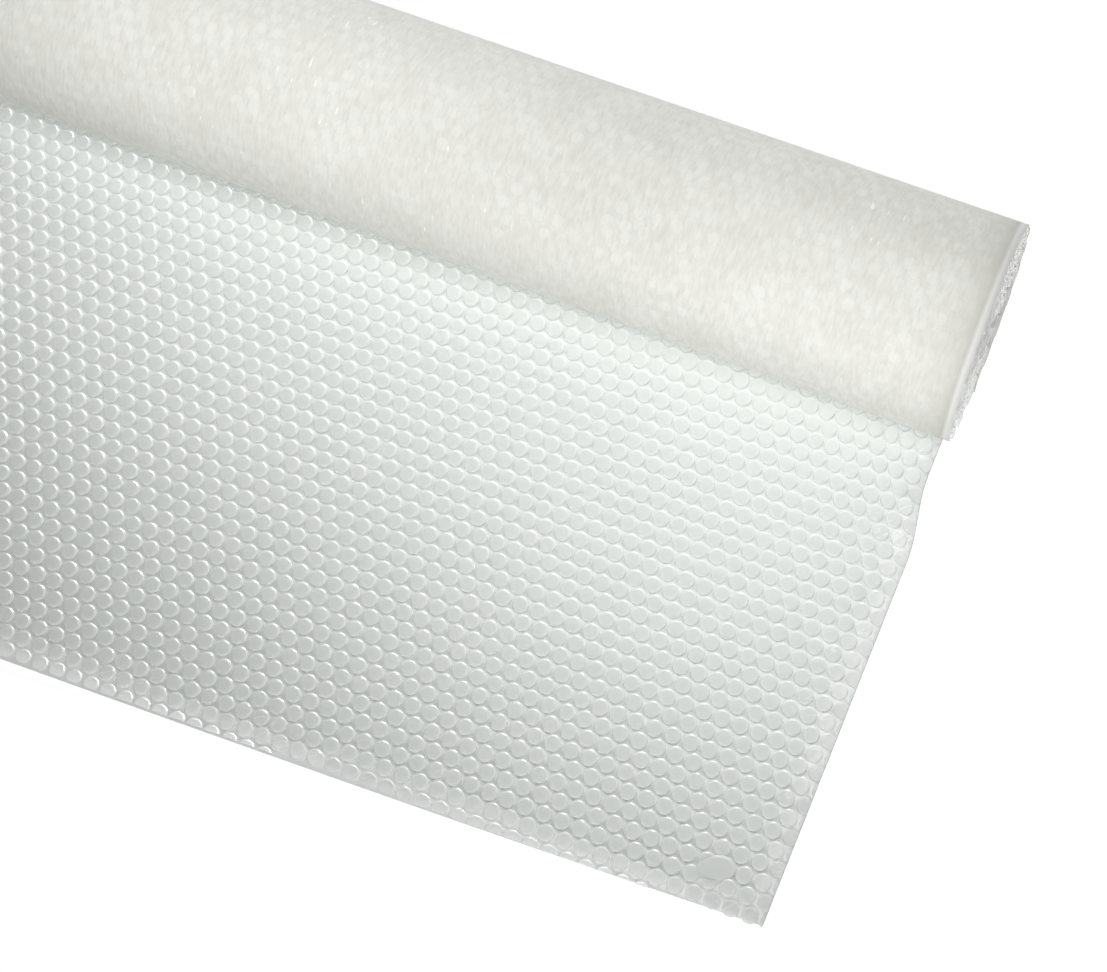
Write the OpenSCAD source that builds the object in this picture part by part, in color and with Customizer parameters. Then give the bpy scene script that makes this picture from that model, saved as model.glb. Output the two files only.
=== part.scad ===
// Bubble film roll: one continuous web of bubble film, wound on itself without a core,
// with its free end drawn out from under the roll and laid flat in front of it.
// The bubbles stand on the upper side of the laid sheet, which is the inner side of each turn.
// X runs along the roll, -Y is the side of the laid sheet, +Z is up.
// The origin is at the middle of the underside of the whole roll and sheet.

/* [Web] */
// Width of the web, which is the length of the roll
web_w = 750; // [300:10:1000]
// Thickness of the web over its bubbles
web_t = 4; // [3:0.1:5]
// Thickness of the laid sheet in the valleys between its bubble rows
valley_t = 1; // [0.6:0.1:1.4]

/* [Bubble rows] */
// Spacing of the bubble rows along the web
row_pitch = 9.9; // [9:0.1:14]
// Width of one bubble row
row_w = 8.4; // [5:0.1:8.6]
// Height of the rounded crown of a bubble row above its steep flanks
crown_h = 1.5; // [0.5:0.1:2]

/* [Roll] */
// Number of whole turns on the roll
turns = 12; // [4:1:14]
// Air that stays between one turn and the next at the ends of the roll
turn_gap = 0.4; // [0.3:0.05:1]
// How deep the ends of the turns stand apart before the winding presses them together
open_depth = 8; // [2:1:30]
// Inner radius of the bend round which the innermost turn starts
eye_r = 3.4; // [2:0.2:10]
// Width of the flat spot that the soft roll rests on
flat_w = 16; // [8:1:40]

/* [Laid sheet] */
// Length of web laid out in front of the flat spot, at the middle of its width
sheet_len = 361; // [200:1:600]
// How far the cut front edge runs out of square over the width of the web
cut_slant = 33; // [0:1:40]
// Length of the front lip that curls up, at the middle of the width
lip_len = 30; // [22:1:60]
// Radius of the curl in the lip
lip_r = 100; // [80:5:200]

/* [Hidden] */
$fn = 96;
film = [0.90, 0.91, 0.90];
turn_pitch = web_t + turn_gap;
// Radius of the outer turn where it leaves the flat spot at the back
back_r = eye_r + web_t + turns * turn_pitch;
back_y = flat_w / 2 + back_r;
// A row stands on the middle of the valley film's thickness
foot = valley_t / 2;
// Radius of the crown that spans the row's width at the crown's height
crown_r = (row_w * row_w / 4 + crown_h * crown_h) / (2 * crown_h);
// The lip is swept past the longer side of the slanted cut, and then cut to it
lip_start = sheet_len - lip_len;
lip_mid_y = lip_r * sin(lip_len / lip_r * 180 / PI);
lip_spare_a = 4;
lip_end_a = asin((lip_mid_y + cut_slant / 2) / lip_r) + lip_spare_a;
cut_y = -flat_w / 2 - lip_start - lip_mid_y;
cut_box = 4 * lip_r;
front_y = cut_y - cut_slant / 2;
laid_rows = ceil((lip_start + lip_r * lip_end_a * PI / 180) / row_pitch);

// Filled outline of the turn i, set in by the depth d from its outer side
module turn_outline(i, d) {
    r = back_r - i * turn_pitch - d;
    top_r = r + (flat_w - turn_pitch) / 2;
    translate([flat_w / 2, back_r]) rotate(-90) quarter(r);
    translate([turn_pitch / 2, back_r]) {
        quarter(top_r);
        rotate(90) quarter(top_r);
    }
    translate([-flat_w / 2, back_r]) rotate(180) quarter(r - turn_pitch);
    translate([-flat_w / 2, back_r - r]) square([flat_w, r]);
}

module quarter(r) {
    intersection() {
        circle(r);
        square(r);
    }
}

// Section of the whole roll: the outer turn's outline with the eye left open
module roll_section() {
    difference() {
        turn_outline(0, 0);
        turn_outline(turns - 1, web_t);
    }
}

// Spiral of air between each turn and the next one inside it
module air_section() {
    for (i = [0 : turns - 2])
        difference() {
            turn_outline(i, web_t);
            turn_outline(i, turn_pitch);
        }
}

// Bubble row on the laid sheet: steep flanks and a rounded crown over them
module row_section() {
    intersection() {
        translate([-row_w / 2, foot]) square([row_w, web_t - foot]);
        translate([0, web_t - crown_r]) circle(crown_r);
    }
}

// Carries its children to a distance s along the laid web, round the curl of the lip
module along_sheet(s) {
    curl = max(0, s - lip_start) / lip_r * 180 / PI;
    translate([-min(s, lip_start), lip_r]) rotate(-curl) translate([0, -lip_r]) children();
}

// Section of the laid sheet: valley film, curled lip and the bubble rows on both
module laid_section() {
    translate([-flat_w / 2, 0]) {
        translate([-lip_start, 0]) square([lip_start, valley_t]);
        translate([-lip_start, lip_r]) intersection() {
            difference() {
                circle(lip_r);
                circle(lip_r - valley_t);
            }
            rotate(-lip_end_a) translate([0, -2 * lip_r]) square(2 * lip_r);
            translate([-2 * lip_r, -2 * lip_r]) square(2 * lip_r);
        }
        for (k = [0 : laid_rows - 1]) along_sheet((k + 0.5) * row_pitch) row_section();
    }
}

// Everything in front of the slanted cut
module cut_off() {
    translate([0, cut_y, 0]) rotate(atan(cut_slant / web_w))
        translate([-web_w, -cut_box, -cut_box / 2]) cube([2 * web_w, cut_box, cut_box]);
}

// Carries a section in Y and Z along X, from x over the length len
module along_roll(x, len) {
    translate([x, 0, 0]) rotate([90, 0, 90]) linear_extrude(len) children();
}

module bubble_film_roll() {
    color(film) translate([0, -(back_y + front_y) / 2, 0]) {
        difference() {
            along_roll(-web_w / 2, web_w) roll_section();
            for (x = [-web_w / 2 - open_depth, web_w / 2 - open_depth])
                along_roll(x, 2 * open_depth) air_section();
        }
        difference() {
            along_roll(-web_w / 2, web_w) laid_section();
            cut_off();
        }
    }
}

bubble_film_roll();
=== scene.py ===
# %% [markdown]
# A roll of clear bubble film lies on its side, and its free end is drawn out from
# under it and laid flat. The real thing is one web: a flat film welded to a film
# with drawn bubbles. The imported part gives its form, with a ridge for each row of
# bubbles. This lesson keeps that form and puts the real film and the single
# bubbles in its place.

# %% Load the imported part
import math

import bmesh
import bpy
from mathutils import Matrix, Vector, noise


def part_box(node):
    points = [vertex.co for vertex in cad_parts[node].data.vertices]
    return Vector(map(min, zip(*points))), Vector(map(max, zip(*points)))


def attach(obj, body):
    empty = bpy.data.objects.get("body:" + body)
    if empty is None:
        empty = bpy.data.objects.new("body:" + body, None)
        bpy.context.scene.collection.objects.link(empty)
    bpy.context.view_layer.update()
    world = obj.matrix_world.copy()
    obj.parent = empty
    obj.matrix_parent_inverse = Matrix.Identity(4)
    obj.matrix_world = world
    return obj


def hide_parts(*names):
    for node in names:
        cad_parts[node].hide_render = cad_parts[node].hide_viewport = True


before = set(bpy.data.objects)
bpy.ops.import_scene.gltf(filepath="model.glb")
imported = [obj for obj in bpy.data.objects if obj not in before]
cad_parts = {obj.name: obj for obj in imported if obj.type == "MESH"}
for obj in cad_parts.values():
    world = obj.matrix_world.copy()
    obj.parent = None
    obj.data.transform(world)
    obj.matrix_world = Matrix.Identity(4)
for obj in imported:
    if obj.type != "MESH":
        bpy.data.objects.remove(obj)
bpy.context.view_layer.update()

NODE = "bubble_film_roll"
BODY = "root"
low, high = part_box(NODE)
print("part from", [round(v, 4) for v in low], "to", [round(v, 4) for v in high])

# %% [markdown]
# The camera comes first, because everything after it is judged through it. It
# looks steeply down on the sheet from the front right. Its place was worked out
# from the lattice of bubbles, which is a ruler that the film carries all over.

# %% Place the camera
CAMERA_AT = Vector((0.4555, -0.4665, 1.3993))
CAMERA_AIM = Vector((0.1662, 0.0031, 0.0))
CAMERA_ROLL_DEG = -9.254
LENS_MM = 82.95
SENSOR_MM = 36.0


def place_camera():
    data = bpy.data.cameras.new("camera")
    data.sensor_width = SENSOR_MM
    data.lens = LENS_MM
    camera = bpy.data.objects.new("camera", data)
    bpy.context.collection.objects.link(camera)
    look = (CAMERA_AIM - CAMERA_AT).to_track_quat("-Z", "Y").to_matrix().to_4x4()
    turn = Vector((0, 0, 1))
    roll = look @ look.Rotation(math.radians(CAMERA_ROLL_DEG), 4, turn)
    roll.translation = CAMERA_AT
    camera.matrix_world = roll
    bpy.context.scene.camera = camera
    return camera


camera = place_camera()
print("camera", round((CAMERA_AIM - CAMERA_AT).length, 3), "m from the point it aims at")

# %% [markdown]
# The web's section is made of straights and arcs only: a lip that curls up at the
# cut edge, the laid straight, and then for each turn a short flat, a quarter
# circle at the back, a half circle over the top and a quarter circle at the front.
# The sizes are the part's own, so the film falls on the solid that it replaces.

# %% Sizes of the web and its section
MM = 0.001
WEB_W = 750 * MM
WEB_T = 4 * MM
TURNS = 12
TURN_PITCH = 4.4 * MM
EYE_R = 3.4 * MM
FLAT_W = 16 * MM
SHEET_LEN = 361 * MM
CUT_SLANT = 33 * MM
LIP_LEN = 30 * MM
LIP_R = 100 * MM

HALF_W = WEB_W / 2
BACK_R = EYE_R + WEB_T + TURNS * TURN_PITCH
SHIFT_Y = high.y - FLAT_W / 2 - BACK_R
SPOT_FRONT_Y = SHIFT_Y - FLAT_W / 2
LIP_START_Y = SPOT_FRONT_Y - (SHEET_LEN - LIP_LEN)
CUT_Y = LIP_START_Y - LIP_R * math.sin(LIP_LEN / LIP_R)
print("section is", round((BACK_R + FLAT_W) * 2 / MM), "mm wide over the roll at most")
print("cut edge at", round((CUT_Y - CUT_SLANT / 2) / MM, 2), "mm, part says", round(low.y / MM, 2))

# %% [markdown]
# One function walks the section from the cut edge to the eye of the roll. It
# returns each point with the direction that the bubbles point in, and the distance
# run along the web. Everything on the web is placed by that distance.

# %% Walk the section of the web
LIP_SWEEP, LIP_STEP = 34, 2.5
OUTER_STEP, INNER_STEP = 5, 10
LAID_STEP = 5 * MM


def arc(centre_y, centre_z, radius, start, sweep, step):
    """Points on an arc in the section, with the direction to its centre."""
    count = max(1, round(abs(sweep) / step))
    points = []
    for k in range(count + 1):
        angle = math.radians(start + sweep * k / count)
        out = (math.cos(angle), math.sin(angle))
        points.append((centre_y + radius * out[0], centre_z + radius * out[1], -out[0], -out[1]))
    return points


def walk_section():
    """The web's film line from beyond the cut to the eye: (y, z, inward y, inward z)."""
    line = arc(LIP_START_Y, LIP_R, LIP_R, -90 - LIP_SWEEP, LIP_SWEEP, LIP_STEP)
    straight = SPOT_FRONT_Y - LIP_START_Y
    steps = round(straight / LAID_STEP)
    line += [(LIP_START_Y + straight * k / steps, 0, 0, 1) for k in range(1, steps + 1)]
    for turn in range(TURNS):
        step = OUTER_STEP if turn == 0 else INNER_STEP
        radius = BACK_R - turn * TURN_PITCH
        top_radius = radius + (FLAT_W - TURN_PITCH) / 2
        line.append((SHIFT_Y, turn * TURN_PITCH, 0, 1))
        line += arc(SHIFT_Y + FLAT_W / 2, BACK_R, radius, -90, 90, step)
        line += arc(SHIFT_Y + TURN_PITCH / 2, BACK_R, top_radius, 0, 180, step)[1:]
        line += arc(SPOT_FRONT_Y, BACK_R, radius - TURN_PITCH, 180, 90, step)[1:]
    line.append((SHIFT_Y + FLAT_W / 2, TURNS * TURN_PITCH, 0, 1))
    return line


def distances(line):
    """Distance from the front of the flat spot to each point, along the web."""
    run, total = [0.0], 0.0
    for a, b in zip(line, line[1:]):
        total += math.hypot(b[0] - a[0], b[1] - a[1])
        run.append(total)
    start = next(r for r, p in zip(run, line) if abs(p[0] - SPOT_FRONT_Y) < 1e-6 and p[1] < 1e-6)
    return [r - start for r in run]


section = walk_section()
run = distances(section)

# %% [markdown]
# Film never lies dead flat. The laid sheet lifts a little in long waves, its right
# edge is pulled in where the sheet comes out from under the roll, and it creases
# near that edge. The rule is one function of place, and the film and the bubbles
# both go through it, so they can't come apart.

# %% Lie of the sheet
PULL_IN = 7 * MM
PULL_FROM = 60 * MM
PULL_LEN = 55 * MM
PULL_ZONE = 120 * MM
WAVE_H, WAVE_LEN = 1.2 * MM, 110 * MM
EDGE_WAVE_H, EDGE_WAVE_LEN = 2.2 * MM, 35 * MM
WAVE_FADE = 60 * MM
EDGE_ZONE = 50 * MM
ROLL_FROM_Z = 40 * MM


def ease(value):
    value = min(1.0, max(0.0, value))
    return value * value * (3 - 2 * value)


def waviness(x, y, size, seed):
    return noise.noise(Vector((x / size, y / size, seed)))


def lie(co):
    """Where a point of the laid sheet goes on the table. Points of the roll stay."""
    ahead = SPOT_FRONT_Y - co.y
    if ahead <= 0 or co.z > ROLL_FROM_Z:
        return co
    free = ease((ahead - PULL_FROM) / WAVE_FADE)
    pull = 1 - ease((ahead - PULL_FROM) / PULL_LEN)
    side = ease((co.x - HALF_W + PULL_ZONE) / PULL_ZONE)
    edge = ease((abs(co.x) - HALF_W + EDGE_ZONE) / EDGE_ZONE)
    lift = WAVE_H * max(0.0, waviness(co.x, co.y, WAVE_LEN, 3.0))
    lift += EDGE_WAVE_H * edge * max(0.0, waviness(co.x, co.y, EDGE_WAVE_LEN, 8.0) + 0.15)
    return Vector((co.x - PULL_IN * pull * side * side, co.y, co.z + lift * free))


print("a mid-sheet point lifts", round((lie(Vector((0, -0.1, 0))).z) / MM, 2), "mm")

# %% [markdown]
# The film is swept from the section as one sheet, from the cut edge to the eye.
# Columns stand closer at the two ends, where the edge shows, than in the middle.
# Its front row is moved onto the slanted, slightly bowed cut. Solidify gives it a
# thickness. Real film is 0.05 mm thick, and 0.3 mm is the thinnest that shows.

# %% Build the film of the web
COLUMNS = 64
END_CROWDING = 0.45
FILM_T = 0.3 * MM
CUT_BOW = 3 * MM
CUT_CLEAR = 2 * MM
CUT_ROWS = (0.0, 0.34, 0.67)
LAID_FADE = 8 * MM
EDGE_RAG, RAG_ZONE, RAG_LEN = 1.6 * MM, 20 * MM, 60 * MM


def cut_line(x):
    """Y of the cut edge: out of square, and bowed outwards."""
    across = x / HALF_W
    return CUT_Y + CUT_SLANT / 2 * across - CUT_BOW * (1 - across * across)


def column_x(k):
    u = 2 * k / COLUMNS - 1
    return HALF_W * ((1 - END_CROWDING) * u + END_CROWDING * math.sin(math.pi / 2 * u))


def ragged(x, distance):
    """The web's sides wander a little from turn to turn, so the roll's ends are ragged."""
    side = ease((abs(x) - HALF_W + RAG_ZONE) / RAG_ZONE)
    wander = 0.5 + 0.5 * noise.noise(Vector((distance / RAG_LEN, 2.0 if x > 0 else 5.0, 0)))
    return x - math.copysign(EDGE_RAG * wander * side, x)


def lip_point(y):
    """Point of the film's lower side on the lip at a given y."""
    back = min(0.9 * LIP_R, max(0.0, LIP_START_Y - y))
    return LIP_R - math.sqrt(LIP_R * LIP_R - back * back)


def build_film():
    """Rows from the slanted cut to the section's first point behind it, then the section."""
    behind_cut = CUT_Y + CUT_SLANT / 2 + CUT_CLEAR
    first = next(k for k, p in enumerate(section) if p[0] > behind_cut)
    mesh = bmesh.new()
    laid = mesh.verts.layers.float.new("laid")
    along = mesh.verts.layers.float.new("along")
    grid = []
    lip_front = section[first][0]
    for share in CUT_ROWS:
        row = []
        for k in range(COLUMNS + 1):
            x = column_x(k)
            y = cut_line(x) + (lip_front - cut_line(x)) * share
            row.append(mesh.verts.new(lie(Vector((x, y, lip_point(y))))))
            row[-1][laid] = 1.0
            row[-1][along] = run[first] + y - lip_front
        grid.append(row)
    for point, distance in zip(section[first:], run[first:]):
        row = []
        for k in range(COLUMNS + 1):
            x = column_x(k)
            if distance > 0:
                x = ragged(x, distance)
            row.append(mesh.verts.new(lie(Vector((x, point[0], point[1])))))
            row[-1][laid] = 1 - ease((distance + LAID_FADE) / LAID_FADE)
            row[-1][along] = distance
        grid.append(row)
    for a, b in zip(grid, grid[1:]):
        for k in range(COLUMNS):
            mesh.faces.new((a[k], a[k + 1], b[k + 1], b[k]))
    data = bpy.data.meshes.new("web_film")
    mesh.to_mesh(data)
    mesh.free()
    film = bpy.data.objects.new("web_film", data)
    bpy.context.collection.objects.link(film)
    solid = film.modifiers.new("thickness", "SOLIDIFY")
    solid.thickness = FILM_T
    solid.offset = 1
    data.shade_smooth()
    return film


web_film = build_film()
print("film has", len(web_film.data.polygons), "faces before its thickness")

# %% [markdown]
# A bubble is a small drawn cup standing upside down: a steep wall, a rounded
# shoulder and a top that is nearly flat. It is turned from a profile with a few
# dozen faces, because it is used thousands of times. Each point keeps how far out
# it lies, from 0 at the middle to 1 at the weld, and the finish draws the rings of
# the bubble from that number.

# %% Turn one bubble from its profile
BUBBLE_R = 5 * MM
BUBBLE_H = 3.2 * MM
SEGMENTS = 16
BUBBLE_PROFILE = [(1.0, 0.0), (0.99, 0.55), (0.955, 0.845), (0.775, 0.98), (0.0, 1.0)]


def turned(name, profile, radius, height, segments):
    """Closed solid turned from (share of radius, share of height), with its bottom."""
    mesh = bmesh.new()
    across = mesh.verts.layers.float.new("across")
    rings = []
    for out, up in profile[:-1]:
        ring = []
        for k in range(segments):
            angle = 2 * math.pi * k / segments
            at = (radius * out * math.cos(angle), radius * out * math.sin(angle), height * up)
            ring.append(mesh.verts.new(at))
            ring[-1][across] = out
        rings.append(ring)
    top = mesh.verts.new((0, 0, height))
    top[across] = 0.0
    for a, b in zip(rings, rings[1:]):
        for k in range(segments):
            mesh.faces.new((a[k], a[(k + 1) % segments], b[(k + 1) % segments], b[k]))
    for k in range(segments):
        mesh.faces.new((rings[-1][k], rings[-1][(k + 1) % segments], top))
    mesh.faces.new(list(reversed(rings[0])))
    bmesh.ops.recalc_face_normals(mesh, faces=mesh.faces)
    for face in mesh.faces:
        face.smooth = len(face.verts) == 4
    for edge in mesh.edges:
        edge.smooth = not all(v in rings[-2] for v in edge.verts)
    data = bpy.data.meshes.new(name)
    mesh.to_mesh(data)
    mesh.free()
    shape = bpy.data.objects.new(name, data)
    bpy.context.collection.objects.link(shape)
    return shape


PITCH = 11.1 * MM
ROW_PITCH = 9.9 * MM
WELD_LIFT = FILM_T * 0.8
START = -run[0]
columns = math.ceil(WEB_W / PITCH) + 1
first_x = -HALF_W + (WEB_W - (columns - 1) * PITCH) / 2
bubble = turned("bubble_pattern", BUBBLE_PROFILE, BUBBLE_R, BUBBLE_H, SEGMENTS)
print("bubble has", len(bubble.data.polygons), "faces")

# %% [markdown]
# Geometry Nodes set the bubbles out. The tree takes the section as a curve, makes
# a grid of points, and moves each one along the curve by its row and along the
# roll by its column, every second row by half a pitch. Each bubble stands square
# to the film, turned and sized a little by chance, and one that the cut has opened
# lies flatter. The same tree does the sheet and the roll's ends.

# %% Tree that sets bubbles out along the web
FLOAT, INT = "NodeSocketFloat", "NodeSocketInt"


def add_node(tree, kind, links=(), **settings):
    """Adds a node, sets its properties and links or fills its inputs."""
    node = tree.nodes.new(kind)
    for key, value in settings.items():
        setattr(node, key, value)
    for name, value in dict(links).items():
        socket = node.inputs[name]
        if isinstance(value, bpy.types.NodeSocket):
            tree.links.new(value, socket)
        else:
            socket.default_value = value
    return node


def math_node(tree, operation, a, b=0.0):
    return add_node(tree, "ShaderNodeMath", {0: a, 1: b}, operation=operation).outputs[0]


TREE_INPUTS = [
    ("Columns", INT, 10), ("Rows", INT, 10), ("First X", FLOAT, 0.0), ("Column pitch", FLOAT, 0.01),
    ("First distance", FLOAT, 0.0), ("Row pitch", FLOAT, 0.01), ("Row offset", FLOAT, 0.5),
    ("Lift", FLOAT, 0.0), ("Size spread", FLOAT, 0.05), ("Height spread", FLOAT, 0.12),
    ("Cut distance", FLOAT, 0.0), ("Cut slope", FLOAT, 0.0), ("Side edge", FLOAT, 1.0),
    ("Bubble radius", FLOAT, 0.005), ("Cut height", FLOAT, 0.35), ("Seed", INT, 1),
]


def bubble_tree():
    tree = bpy.data.node_groups.new("bubbles_along_web", "GeometryNodeTree")
    face = tree.interface
    face.new_socket("Geometry", in_out="INPUT", socket_type="NodeSocketGeometry")
    for name, kind, value in TREE_INPUTS:
        face.new_socket(name, in_out="INPUT", socket_type=kind).default_value = value
    face.new_socket("Bubble", in_out="INPUT", socket_type="NodeSocketObject")
    face.new_socket("Material", in_out="INPUT", socket_type="NodeSocketMaterial")
    face.new_socket("Geometry", in_out="OUTPUT", socket_type="NodeSocketGeometry")
    given = tree.nodes.new("NodeGroupInput").outputs
    count = math_node(tree, "MULTIPLY", given["Columns"], given["Rows"])
    points = add_node(tree, "GeometryNodePoints", {"Count": count})
    index = tree.nodes.new("GeometryNodeInputIndex").outputs[0]
    middle = math_node(tree, "ADD", index, 0.5)
    row = math_node(tree, "FLOOR", math_node(tree, "DIVIDE", middle, given["Columns"]))
    column = math_node(tree, "SUBTRACT", index, math_node(tree, "MULTIPLY", row, given["Columns"]))
    stagger = math_node(tree, "MULTIPLY", math_node(tree, "FLOORED_MODULO", row, 2.0), given["Row offset"])
    along = math_node(tree, "MULTIPLY", math_node(tree, "ADD", column, stagger), given["Column pitch"])
    x = math_node(tree, "ADD", along, given["First X"])
    distance = math_node(tree, "MULTIPLY_ADD", row, given["Row pitch"])
    tree.links.new(given["First distance"], distance.node.inputs[2])
    curve = add_node(tree, "GeometryNodeMeshToCurve", {"Mesh": given["Geometry"]})
    sample = add_node(
        tree, "GeometryNodeSampleCurve", {"Curves": curve.outputs[0], "Length": distance},
        mode="LENGTH", use_all_curves=True,
    )
    at = add_node(tree, "ShaderNodeSeparateXYZ", {0: sample.outputs["Position"]})
    normal = add_node(
        tree, "ShaderNodeVectorMath", {0: (1, 0, 0), 1: sample.outputs["Tangent"]}, operation="CROSS_PRODUCT"
    ).outputs[0]
    raise_by = add_node(tree, "ShaderNodeVectorMath", {0: normal, "Scale": given["Lift"]}, operation="SCALE")
    place = add_node(tree, "ShaderNodeCombineXYZ", {"X": x, "Y": at.outputs["Y"], "Z": at.outputs["Z"]})
    placed = add_node(
        tree, "ShaderNodeVectorMath", {0: place.outputs[0], 1: raise_by.outputs[0]}, operation="ADD"
    )
    moved = add_node(
        tree, "GeometryNodeSetPosition", {"Geometry": points.outputs[0], "Position": placed.outputs[0]}
    )
    # Distance inside the nearest edge, negative where the centre lies outside the web.
    # A bubble is kept until its centre is 0.8 of a radius outside.
    cut = math_node(tree, "MULTIPLY_ADD", x, given["Cut slope"])
    tree.links.new(given["Cut distance"], cut.node.inputs[2])
    inside_cut = math_node(tree, "SUBTRACT", distance, cut)
    inside_side = math_node(tree, "SUBTRACT", given["Side edge"], math_node(tree, "ABSOLUTE", x))
    inside = math_node(tree, "MINIMUM", inside_cut, inside_side)
    share = math_node(tree, "DIVIDE", inside, given["Bubble radius"])
    kept = add_node(
        tree, "FunctionNodeCompare", {0: share, 1: -0.8}, data_type="FLOAT", operation="GREATER_THAN"
    )
    # All the height from 1 radius inside the edge, the cut height where the edge opens it
    full = add_node(
        tree, "ShaderNodeMapRange",
        {"Value": share, "From Min": 0.95, "From Max": 1.0, "To Min": given["Cut height"]},
    )
    turned_by = add_node(
        tree, "FunctionNodeRandomValue", {2: 0.0, 3: 2 * math.pi, "Seed": given["Seed"]}, data_type="FLOAT"
    )
    axes = add_node(
        tree, "FunctionNodeAxesToRotation", {"Primary Axis": normal, "Secondary Axis": (1, 0, 0)},
        primary_axis="Z", secondary_axis="X",
    )
    spin = add_node(tree, "ShaderNodeCombineXYZ", {"Z": turned_by.outputs[1]})
    euler = add_node(tree, "FunctionNodeEulerToRotation", {0: spin.outputs[0]})
    rotation = add_node(
        tree, "FunctionNodeRotateRotation", {"Rotation": axes.outputs[0], "Rotate By": euler.outputs[0]},
        rotation_space="LOCAL",
    )
    wide = spread(tree, given, "Size spread", 11)
    tall = math_node(tree, "MULTIPLY", spread(tree, given, "Height spread", 23), full.outputs[0])
    size = add_node(tree, "ShaderNodeCombineXYZ", {"X": wide, "Y": wide, "Z": tall})
    shape = add_node(tree, "GeometryNodeObjectInfo", {"Object": given["Bubble"]}, transform_space="ORIGINAL")
    instances = add_node(
        tree, "GeometryNodeInstanceOnPoints",
        {"Points": moved.outputs[0], "Selection": kept.outputs[0], "Instance": shape.outputs["Geometry"],
         "Rotation": rotation.outputs[0], "Scale": size.outputs[0]},
    )
    real = add_node(tree, "GeometryNodeRealizeInstances", {"Geometry": instances.outputs[0]})
    finish = add_node(
        tree, "GeometryNodeSetMaterial", {"Geometry": real.outputs[0], "Material": given["Material"]}
    )
    add_node(tree, "NodeGroupOutput", {"Geometry": finish.outputs[0]})
    return tree


def spread(tree, given, name, more_seed):
    """A random factor about 1, within the share that the named input gives."""
    seed = math_node(tree, "ADD", given["Seed"], more_seed)
    low_end = math_node(tree, "SUBTRACT", 1.0, given[name])
    high_end = math_node(tree, "ADD", 1.0, given[name])
    pick = add_node(
        tree, "FunctionNodeRandomValue", {2: low_end, 3: high_end, "Seed": seed}, data_type="FLOAT"
    )
    return pick.outputs[1]


lattice = bubble_tree()
print("tree has", len(lattice.nodes), "nodes and", len(TREE_INPUTS) + 3, "inputs")

# %% [markdown]
# Colours are written as they look on a screen, so one function turns a hex value
# to the linear light that a shader adds up.

# %% Colour from a hex value
def linear(value):
    value /= 255
    return value / 12.92 if value <= 0.04045 else ((value + 0.055) / 1.055) ** 2.4


def colour(code):
    """A hex colour, or a plain number for a grey that only serves as a factor."""
    if not isinstance(code, str):
        return (code, code, code, 1.0)
    return tuple(linear(int(code[k:k + 2], 16)) for k in (0, 2, 4)) + (1.0,)


print("C9CEC8 is", [round(v, 3) for v in colour("C9CEC8")])

# %% [markdown]
# The film is low-density polyethylene, blown and then drawn into cups. It is soft,
# glossy and milky, with an index of 1.51. On each bubble the weld, the wall and the
# drawn shoulder are painted as pale rings, a painted highlight for the light that
# they catch, and the thin flat top lets the table through and reads a little
# darker. The painted rings come from the number that each point of the bubble
# carries, so they stay on the bubble however it is turned.

# %% Film of the laid sheet and its bubbles
FILM_IOR = 1.51
# The free edges get a band of painted light, where light comes through the clear film
PAINTED_EDGE_ZONE = 40 * MM
CREASE_TURN = math.radians(-45)
# The glint tone is a painted highlight, on creases of the sheet and on the roll
EDGE_PAINTED_LIGHT, PAINTED_GLINT_TONE = "F9FCFA", "FFFFFC"
END_ZONE = 26 * MM
# The weld, wall and shoulder rings are painted light: paler than the top to stand for the light they catch
WELD_PAINTED_HIGHLIGHT, WALL_PAINTED_LIGHT, SHOULDER_PAINTED_HIGHLIGHT, TOP_TONE = "F2F4F2", "F1F4F2", "E3E7E4", "DDE1DE"


def ramp(tree, value, stops):
    node = add_node(tree, "ShaderNodeValToRGB", {"Fac": value})
    band = node.color_ramp
    while len(band.elements) > 1:
        band.elements.remove(band.elements[-1])
    band.elements[0].position, band.elements[0].color = stops[0][0], colour(stops[0][1])
    for position, code in stops[1:]:
        band.elements.new(position).color = colour(code)
    return node.outputs["Color"]


def new_material(name):
    material = bpy.data.materials.new(name)
    material.use_nodes = True
    tree = material.node_tree
    tree.nodes.clear()
    return material, tree


def place_noise(tree, scale, detail, stretch=(1, 1, 1), turn=0.0):
    """Noise with this many grains to the metre: 560 is one for each 1.8 mm."""
    at = tree.nodes.new("ShaderNodeTexCoord").outputs["Object"]
    around = add_node(tree, "ShaderNodeVectorRotate", {"Vector": at, "Angle": turn}, rotation_type="Z_AXIS")
    mapping = add_node(tree, "ShaderNodeMapping", {"Vector": around.outputs[0], "Scale": stretch})
    return add_node(
        tree, "ShaderNodeTexNoise", {"Vector": mapping.outputs[0], "Scale": scale, "Detail": detail}
    ).outputs[0]


def mixed(tree, amount, a, b):
    node = add_node(tree, "ShaderNodeMix", {"Factor": amount}, data_type="RGBA")
    for name, value in (("A", a), ("B", b)):
        socket = next(s for s in node.inputs if s.name == name and s.type == "RGBA")
        if isinstance(value, bpy.types.NodeSocket):
            tree.links.new(value, socket)
        else:
            socket.default_value = value
    return next(s for s in node.outputs if s.type == "RGBA")


def from_edge(tree):
    """Distance inside the sheet's nearest free edge, over the width of the painted edge zone."""
    at = tree.nodes.new("ShaderNodeTexCoord").outputs["Object"]
    place = add_node(tree, "ShaderNodeSeparateXYZ", {0: at}).outputs
    side = math_node(tree, "SUBTRACT", HALF_W, math_node(tree, "ABSOLUTE", place["X"]))
    slant = math_node(tree, "MULTIPLY", place["X"], CUT_SLANT / WEB_W)
    front = math_node(tree, "SUBTRACT", place["Y"], slant)
    front = math_node(tree, "SUBTRACT", front, CUT_Y - CUT_BOW)
    return math_node(tree, "DIVIDE", math_node(tree, "MINIMUM", side, front), PAINTED_EDGE_ZONE)


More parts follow.
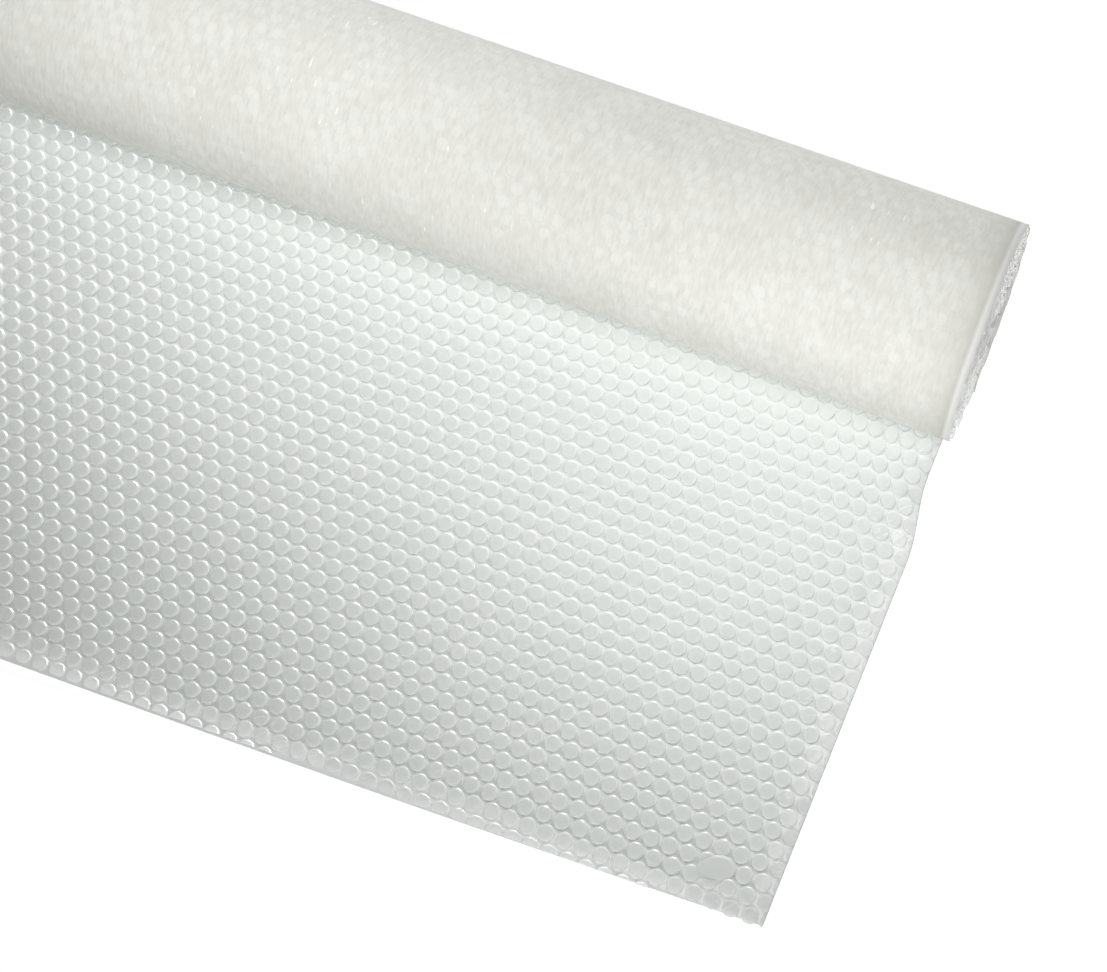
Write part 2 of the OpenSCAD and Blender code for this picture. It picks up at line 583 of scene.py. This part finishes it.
def painted_edge_light_and_glints(tree, base):
    """Painted light: a paler border at the free edges, crossed by crease lines painted as glints."""
    inside = from_edge(tree)
    uneven = math_node(tree, "SUBTRACT", place_noise(tree, 130.0, 2.0), 0.5)
    border = math_node(tree, "ADD", inside, math_node(tree, "MULTIPLY", uneven, 0.25))
    # Painted light: a paler border where light comes through the clear film
    clear = ramp(tree, border, [(0.0, 1.0), (0.08, 0.75), (0.22, 0.25), (0.4, 0.0)])
    base = mixed(tree, clear, base, colour(EDGE_PAINTED_LIGHT))
    # Painted highlight: fine creases drawn as thin bright glint lines
    folds = place_noise(tree, 75.0, 2.0, (0.35, 1, 1), CREASE_TURN)
    line = ramp(tree, folds, [(0.49, 0.0), (0.5, 1.0), (0.51, 0.0)])
    zone = ramp(tree, inside, [(0.0, 1.0), (0.45, 0.6), (0.9, 0.0)])
    patchy = ramp(tree, place_noise(tree, 30.0, 1.0), [(0.45, 0.0), (0.55, 1.0)])
    crease_glint = math_node(tree, "MULTIPLY", math_node(tree, "MULTIPLY", line, zone), patchy)
    return mixed(tree, crease_glint, base, colour(PAINTED_GLINT_TONE))


def finish_film(tree, base, roughness, bump, subsurface, sheen):
    shader = add_node(
        tree, "ShaderNodeBsdfPrincipled",
        {"Base Color": base, "Roughness": roughness, "IOR": FILM_IOR, "Normal": bump},
    )
    shader.inputs["Sheen Weight"].default_value = sheen
    shader.inputs["Sheen Roughness"].default_value = 0.3
    shader.inputs["Subsurface Weight"].default_value = subsurface
    shader.inputs["Subsurface Radius"].default_value = (1.0, 1.0, 1.0)
    shader.inputs["Subsurface Scale"].default_value = 5 * MM
    add_node(tree, "ShaderNodeOutputMaterial", {"Surface": shader.outputs[0]})


def bubble_finish():
    """Drawn LDPE cups: painted highlight rings at weld, wall and shoulder; a clear, faintly wrinkled top."""
    material, tree = new_material("drawn_ldpe_bubbles")
    across = add_node(tree, "ShaderNodeAttribute", attribute_name="across").outputs["Fac"]
    # Painted highlight: pale rings at the weld, wall and shoulder over the top's tone
    rings = ramp(tree, across, [
        (0.0, TOP_TONE), (0.75, TOP_TONE), (0.79, SHOULDER_PAINTED_HIGHLIGHT), (0.94, SHOULDER_PAINTED_HIGHLIGHT), (0.96, WALL_PAINTED_LIGHT),
        (0.99, WELD_PAINTED_HIGHLIGHT),
    ])
    milk = place_noise(tree, 9.0, 1.0)
    base = painted_edge_light_and_glints(tree, mixed(tree, milk, rings, mixed(tree, 0.5, rings, colour("E1E4E2"))))
    wrinkle = place_noise(tree, 420.0, 1.0)
    bump = add_node(tree, "ShaderNodeBump", {"Height": wrinkle, "Strength": 0.15, "Distance": 0.3 * MM})
    finish_film(tree, base, 0.23, bump.outputs[0], 0.9, 0.0)
    return material


bubble_ldpe = bubble_finish()
print("made", bubble_ldpe.name)

# %% [markdown]
# The flat film between the bubbles is the same plastic. Where it is wound, a dozen
# layers lie behind it, so it turns from clear to a warm milky white, with the
# bubbles of the next layer showing through as faint rings, and short painted glints,
# a painted highlight, where the film has creased along the roll.

# %% Film of the web, laid and wound
LAID_TONE, WOUND_TONE, WOUND_DEEP = "E3E7E4", "EBEBE4", "DEDED6"
CELL_TONE, CREASE_TONE = "F4F4F0", "D0D0C8"
LAYERS_BEHIND = [(0.0, 0.6, 38.0), (0.37, 0.45, 52.0)]
# The roll's ends get a painted shade and then painted light at the very edge
END_PAINTED_SHADE, END_PAINTED_LIGHT = "C9C9C1", "F8F8F4"


def from_bubble(tree, shift):
    """Distance to the nearest bubble's middle over its radius, on the web's own grid."""
    at = tree.nodes.new("ShaderNodeTexCoord").outputs["Object"]
    x = add_node(tree, "ShaderNodeSeparateXYZ", {0: at}).outputs["X"]
    along = add_node(tree, "ShaderNodeAttribute", attribute_name="along").outputs["Fac"]
    row = math_node(tree, "DIVIDE", math_node(tree, "SUBTRACT", along, FLAT_W), ROW_PITCH)
    row = math_node(tree, "ADD", row, 0.5 + shift)
    odd = math_node(tree, "FLOORED_MODULO", math_node(tree, "FLOOR", row), 2.0)
    stagger = math_node(tree, "MULTIPLY", odd, 0.5)
    column = math_node(tree, "DIVIDE", math_node(tree, "SUBTRACT", x, first_x), PITCH)
    column = math_node(tree, "SUBTRACT", math_node(tree, "ADD", column, 0.5 + shift), stagger)
    sides = []
    for value, pitch in ((row, ROW_PITCH), (column, PITCH)):
        off_middle = math_node(tree, "SUBTRACT", math_node(tree, "FRACT", value), 0.5)
        off_by = math_node(tree, "MULTIPLY", math_node(tree, "ABSOLUTE", off_middle), pitch)
        sides.append(math_node(tree, "POWER", off_by, 2.0))
    return math_node(tree, "DIVIDE", math_node(tree, "SQRT", math_node(tree, "ADD", *sides)), BUBBLE_R)


def film_finish():
    """Blown LDPE film: clear grey-green where laid, warm and milky where wound."""
    material, tree = new_material("blown_ldpe_film")
    laid = add_node(tree, "ShaderNodeAttribute", attribute_name="laid").outputs["Fac"]
    # Wound film: clouded, with the bubbles of two layers behind it showing here and there
    cloud = place_noise(tree, 14.0, 3.0, (0.6, 1, 1))
    milky = mixed(tree, cloud, colour(WOUND_DEEP), colour(WOUND_TONE))
    for shift, strength, patches in LAYERS_BEHIND:
        disc = ramp(tree, from_bubble(tree, shift), [
            (0.0, strength), (0.68, strength * 0.8), (0.84, 0.0), (0.95, 0.0), (1.0, strength * 0.7),
            (1.06, 0.1),
        ])
        patchy = ramp(tree, place_noise(tree, patches, 2.0), [(0.42, 0.0), (0.6, 1.0)])
        milky = mixed(tree, math_node(tree, "MULTIPLY", disc, patchy), milky, colour(CELL_TONE))
    # Fine creases run round the roll, and a few of them carry painted glints, a painted highlight
    streak = place_noise(tree, 560.0, 3.0, (1, 0.25, 0.25))
    milky = mixed(tree, ramp(tree, streak, [(0.5, 0.0), (0.75, 0.5)]), milky, colour(CELL_TONE))
    milky = mixed(tree, ramp(tree, streak, [(0.25, 0.4), (0.48, 0.0)]), milky, colour(CREASE_TONE))
    glint = ramp(tree, place_noise(tree, 480.0, 1.0, (1, 0.2, 0.2)), [(0.72, 0.0), (0.75, 1.0)])
    cluster = ramp(tree, place_noise(tree, 11.0, 1.0), [(0.5, 0.0), (0.6, 1.0)])
    milky = mixed(tree, math_node(tree, "MULTIPLY", glint, cluster), milky, colour(PAINTED_GLINT_TONE))
    # Towards the web's sides, where the layers part: painted shade, then painted light at the edge
    at = tree.nodes.new("ShaderNodeTexCoord").outputs["Object"]
    x = add_node(tree, "ShaderNodeSeparateXYZ", {0: at}).outputs["X"]
    inside = math_node(tree, "SUBTRACT", HALF_W, math_node(tree, "ABSOLUTE", x))
    from_side = math_node(tree, "DIVIDE", inside, END_ZONE)
    end_light = ramp(tree, from_side, [(0.0, 1.0), (0.14, 1.0), (0.22, 0.0)])
    shaded = ramp(tree, from_side, [(0.16, 0.9), (0.4, 0.45), (1.0, 0.0)])
    milky = mixed(tree, shaded, milky, colour(END_PAINTED_SHADE))
    milky = mixed(tree, end_light, milky, colour(END_PAINTED_LIGHT))
    base = mixed(tree, laid, milky, painted_edge_light_and_glints(tree, colour(LAID_TONE)))
    bump = add_node(tree, "ShaderNodeBump", {"Height": streak, "Strength": 0.25, "Distance": 0.3 * MM})
    finish_film(tree, base, mixed(tree, laid, colour(0.85), colour(0.26)), bump.outputs[0], 0.0, 0.25)
    return material


film_ldpe = film_finish()
web_film.data.materials.append(film_ldpe)
print("made", film_ldpe.name)

# %% [markdown]
# Each use of the tree hangs on a helper that holds the section as a chain of
# edges. Once the tree has run, its result is kept as a plain mesh and the helper
# goes. The laid sheet takes two pieces, so that neither grows too heavy.

# %% Run the tree for each stretch of the web
def section_helper(name):
    data = bpy.data.meshes.new(name)
    points = [(0, p[0], p[1]) for p in section]
    data.from_pydata(points, [(k, k + 1) for k in range(len(points) - 1)], [])
    helper = bpy.data.objects.new(name, data)
    bpy.context.collection.objects.link(helper)
    return helper


def set_out(name, shape, material, **values):
    """Runs the tree with the given inputs and returns the plain mesh that it makes."""
    helper = section_helper(name + "_helper")
    modifier = helper.modifiers.new("bubbles", "NODES")
    modifier.node_group = lattice
    sockets = {s.name: s.identifier for s in lattice.interface.items_tree if s.in_out == "INPUT"}
    values = {key.replace("_", " "): value for key, value in values.items()}
    for key, value in {**values, "Bubble": shape, "Material": material}.items():
        wanted = next(n for n in sockets if n.lower() == key.lower())
        modifier[sockets[wanted]] = value
    graph = bpy.context.evaluated_depsgraph_get()
    graph.update()
    data = bpy.data.meshes.new_from_object(helper.evaluated_get(graph))
    data.name = name
    bpy.data.objects.remove(helper)
    piece = bpy.data.objects.new(name, data)
    bpy.context.collection.objects.link(piece)
    return piece


cut_slope = CUT_SLANT / WEB_W
laid_rows = math.floor((SHEET_LEN + CUT_SLANT) / ROW_PITCH) + 1
laid_first = START - (laid_rows + 0.5) * ROW_PITCH
cut_distance = START - SHEET_LEN
print(columns, "columns and", laid_rows, "rows on the laid sheet")

# %% [markdown]
# The cut goes straight through the bubbles in its way, along the slanted front
# edge and along both sides. Each of those bubbles is cut by a plane and closed
# again, so that the mesh stays a solid.

# %% Cut the bubbles at the web's edges
SIDE_INSET = 0.4 * MM


def trim(piece, planes):
    """Cuts a piece by planes (point, outward normal) and closes what the cut opens."""
    mesh = bmesh.new()
    mesh.from_mesh(piece.data)
    for point, outward in planes:
        beyond = [f for f in mesh.faces if max((v.co - point).dot(outward) for v in f.verts) > 0]
        if not beyond:
            continue
        parts = beyond + list({e for f in beyond for e in f.edges} | {v for f in beyond for v in f.verts})
        bmesh.ops.bisect_plane(mesh, geom=parts, plane_co=point, plane_no=outward, clear_outer=True)
        rim = [e for e in mesh.edges if e.is_boundary]
        bmesh.ops.holes_fill(mesh, edges=rim, sides=0)
    mesh.to_mesh(piece.data)
    mesh.free()
    piece.data.update()
    return piece


def settle(piece):
    """Lays the bubbles on the waves of the film."""
    for vertex in piece.data.vertices:
        vertex.co = lie(vertex.co.copy())
    return piece


front_normal = Vector((CUT_SLANT / WEB_W, -1, 0)).normalized()
front_plane = (Vector((0, CUT_Y - CUT_BOW / 2, 0)), front_normal)
side_planes = [
    (Vector((side * (HALF_W - SIDE_INSET), 0, 0)), Vector((side, 0, 0))) for side in (-1, 1)
]

laid_pieces = []
half_columns = columns // 2
halves = [
    ("laid_bubbles_left", 0, half_columns, 17),
    ("laid_bubbles_right", half_columns, columns - half_columns, 18),
]
for name, start_column, count, seed in halves:
    piece = set_out(
        name, bubble, bubble_ldpe, Columns=count, Rows=laid_rows,
        First_X=first_x + start_column * PITCH, Column_pitch=PITCH,
        First_distance=laid_first, Row_pitch=ROW_PITCH, Lift=WELD_LIFT,
        Cut_distance=cut_distance, Cut_slope=cut_slope, Side_edge=HALF_W,
        Bubble_radius=BUBBLE_R, Size_spread=0.02, Height_spread=0.08, Seed=seed,
    )
    trim(piece, [front_plane] + side_planes)
    laid_pieces.append(settle(piece))
    print(name, len(piece.data.polygons), "faces")

# %% [markdown]
# Near the cut corner three bubbles have run together into one low blister. It is
# the same shape, turned once more, larger and with more sides, and stretched.

# %% One blister where bubbles have run together
BLISTER_AT = (0.3395, -0.1735)
BLISTER_SIZE = (11.5 * MM, 7.5 * MM)
BLISTER_H = BUBBLE_H * 1.12
BLISTER_TURN = math.radians(25)

merged_bubble = turned("merged_bubble", BUBBLE_PROFILE, 1.0, BLISTER_H, 36)
for vertex in merged_bubble.data.vertices:
    flat = Vector((vertex.co.x * BLISTER_SIZE[0], vertex.co.y * BLISTER_SIZE[1]))
    flat = flat @ Matrix.Rotation(-BLISTER_TURN, 2)
    vertex.co = (BLISTER_AT[0] + flat.x, BLISTER_AT[1] + flat.y, WELD_LIFT + vertex.co.z)
merged_bubble.data.materials.append(bubble_ldpe)
laid_pieces.append(settle(merged_bubble))
print("blister has", len(merged_bubble.data.polygons), "faces")

# %% [markdown]
# On the roll the film's smooth side is outside and hides its bubbles. At the two
# ends of the roll the turns stand open, and the outermost columns of real bubbles
# show there in every turn.

# %% Bubbles in the roll's ends
END_INSET = 6.5 * MM
WOUND_FROM, WOUND_SPARE = 12 * MM, 20 * MM
NO_CUT = -1.0

wound_rows = math.floor((run[-1] - WOUND_SPARE) / ROW_PITCH)
end_pieces = []
for name, side in (("end_bubbles_left", -1), ("end_bubbles_right", 1)):
    edge_x = side * (HALF_W - END_INSET)
    piece = set_out(
        name, bubble, bubble_ldpe, Columns=2, Rows=wound_rows,
        First_X=min(edge_x, edge_x - side * PITCH), Column_pitch=PITCH,
        First_distance=START + WOUND_FROM, Row_pitch=ROW_PITCH, Lift=WELD_LIFT,
        Side_edge=HALF_W, Cut_distance=NO_CUT, Bubble_radius=BUBBLE_R,
        Size_spread=0.04, Height_spread=0.1, Seed=9,
    )
    trim(piece, side_planes)
    end_pieces.append(piece)
    print(name, len(piece.data.polygons), "faces")
bpy.data.objects.remove(bubble)

# %% [markdown]
# Every piece is one more view of the same web, so all of them ride on the part's
# one body and stand for its one node.

# %% Tie the pieces to the part
pieces = [web_film] + laid_pieces + end_pieces
for piece in pieces:
    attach(piece, BODY)
    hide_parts(NODE)
print(len(pieces), "pieces,", sum(len(p.data.polygons) for p in pieces), "faces")

# %% [markdown]
# The web lies on a plain white table. The table is plain white to the camera and
# keeps the web's shadow, because its own glow only tops up the light that falls
# on it. Beyond the lamps' reach the glow takes over, so no far edge shows grey
# from the side. The lamps are large and soft.

# %% Table, daylight and lamps
TABLE_SIZE = 6.0
TABLE_GLOW = 0.5
LIT_ZONE = (0.7, 1.6)


def table_top():
    data = bpy.data.meshes.new("table_top")
    half = TABLE_SIZE / 2
    corners = [(-half, -half, 0), (half, -half, 0), (half, half, 0), (-half, half, 0)]
    data.from_pydata(corners, [], [(0, 1, 2, 3)])
    table = bpy.data.objects.new("table_top", data)
    bpy.context.collection.objects.link(table)
    material, tree = new_material("white_laminate")
    path = tree.nodes.new("ShaderNodeLightPath").outputs
    at = tree.nodes.new("ShaderNodeTexCoord").outputs["Object"]
    away = add_node(tree, "ShaderNodeVectorMath", {0: at}, operation="LENGTH").outputs["Value"]
    far = add_node(
        tree, "ShaderNodeMapRange",
        {"Value": away, "From Min": LIT_ZONE[0], "From Max": LIT_ZONE[1],
         "To Min": TABLE_GLOW, "To Max": 1.0},
    )
    seen = math_node(tree, "MULTIPLY", path["Is Camera Ray"], far.outputs[0])
    mirrored = math_node(tree, "MAXIMUM", path["Is Glossy Ray"], path["Is Transmission Ray"])
    strength = math_node(tree, "MAXIMUM", seen, math_node(tree, "MULTIPLY", mirrored, TABLE_GLOW))
    glow = add_node(tree, "ShaderNodeEmission", {"Strength": strength})
    matt = add_node(tree, "ShaderNodeBsdfDiffuse", {"Color": colour("EDEDED")})
    both = add_node(tree, "ShaderNodeAddShader", {0: matt.outputs[0], 1: glow.outputs[0]})
    add_node(tree, "ShaderNodeOutputMaterial", {"Surface": both.outputs[0]})
    data.materials.append(material)
    return table


def lamp(name, at, aim, width, depth, watts):
    data = bpy.data.lights.new(name, "AREA")
    data.shape = "RECTANGLE"
    data.size, data.size_y, data.energy = width, depth, watts
    light = bpy.data.objects.new(name, data)
    bpy.context.collection.objects.link(light)
    light.location = at
    light.visible_camera = False
    light.rotation_euler = (Vector(aim) - Vector(at)).to_track_quat("-Z", "Y").to_euler()
    return light


def daylight(strength):
    world = bpy.data.worlds.new("daylight")
    world.use_nodes = True
    tree = world.node_tree
    tree.nodes.clear()
    path = tree.nodes.new("ShaderNodeLightPath").outputs
    power = add_node(
        tree, "ShaderNodeMapRange",
        {"Value": path["Is Camera Ray"], "To Min": strength, "To Max": 1.0},
    )
    sky = add_node(tree, "ShaderNodeBackground", {"Color": (1, 1, 1, 1), "Strength": power.outputs[0]})
    add_node(tree, "ShaderNodeOutputWorld", {"Surface": sky.outputs[0]})
    bpy.context.scene.world = world


table_top()
front_left = lamp("front_left", (-0.2, -0.75, 0.35), (-0.15, 0.15, 0.06), 0.4, 0.2, 1.05)
front_right = lamp("front_right", (0.5, -0.75, 0.35), (0.35, 0.15, 0.06), 0.4, 0.2, 2.3)
near_left = lamp("near_left", (-0.12, 0.05, 0.28), (-0.12, 0.1, 0.0), 0.4, 0.08, 0.34)
near_right = lamp("near_right", (0.32, 0.0, 0.3), (0.32, 0.03, 0.0), 0.4, 0.08, 0.51)
over = lamp("over", (0.0, 0.2, 0.45), (0.0, 0.16, 0.1), 1.1, 0.1, 0.14)
back = lamp("back", (0.22, 1.0, 0.6), (0.1, 0.0, 0.0), 1.0, 0.4, 6.7)
rim = lamp("rim", (-0.3, 1.0, 0.62), (-0.6, -0.1, 0.0), 1.0, 0.5, 9.5)
# The rim lamp only shows as a reflection: it draws the crescents on the bubbles
rim.data.spread = math.radians(80)
rim.visible_diffuse = False
for light in (front_left, front_right, near_left, near_right, over, back):
    light.visible_glossy = False
# The roll would lay a dark band on the sheet in the light of the lamps behind it
for light in (over, back, rim):
    light.data.use_shadow = False
daylight(0.08)
bpy.context.scene.view_settings.view_transform = "Standard"
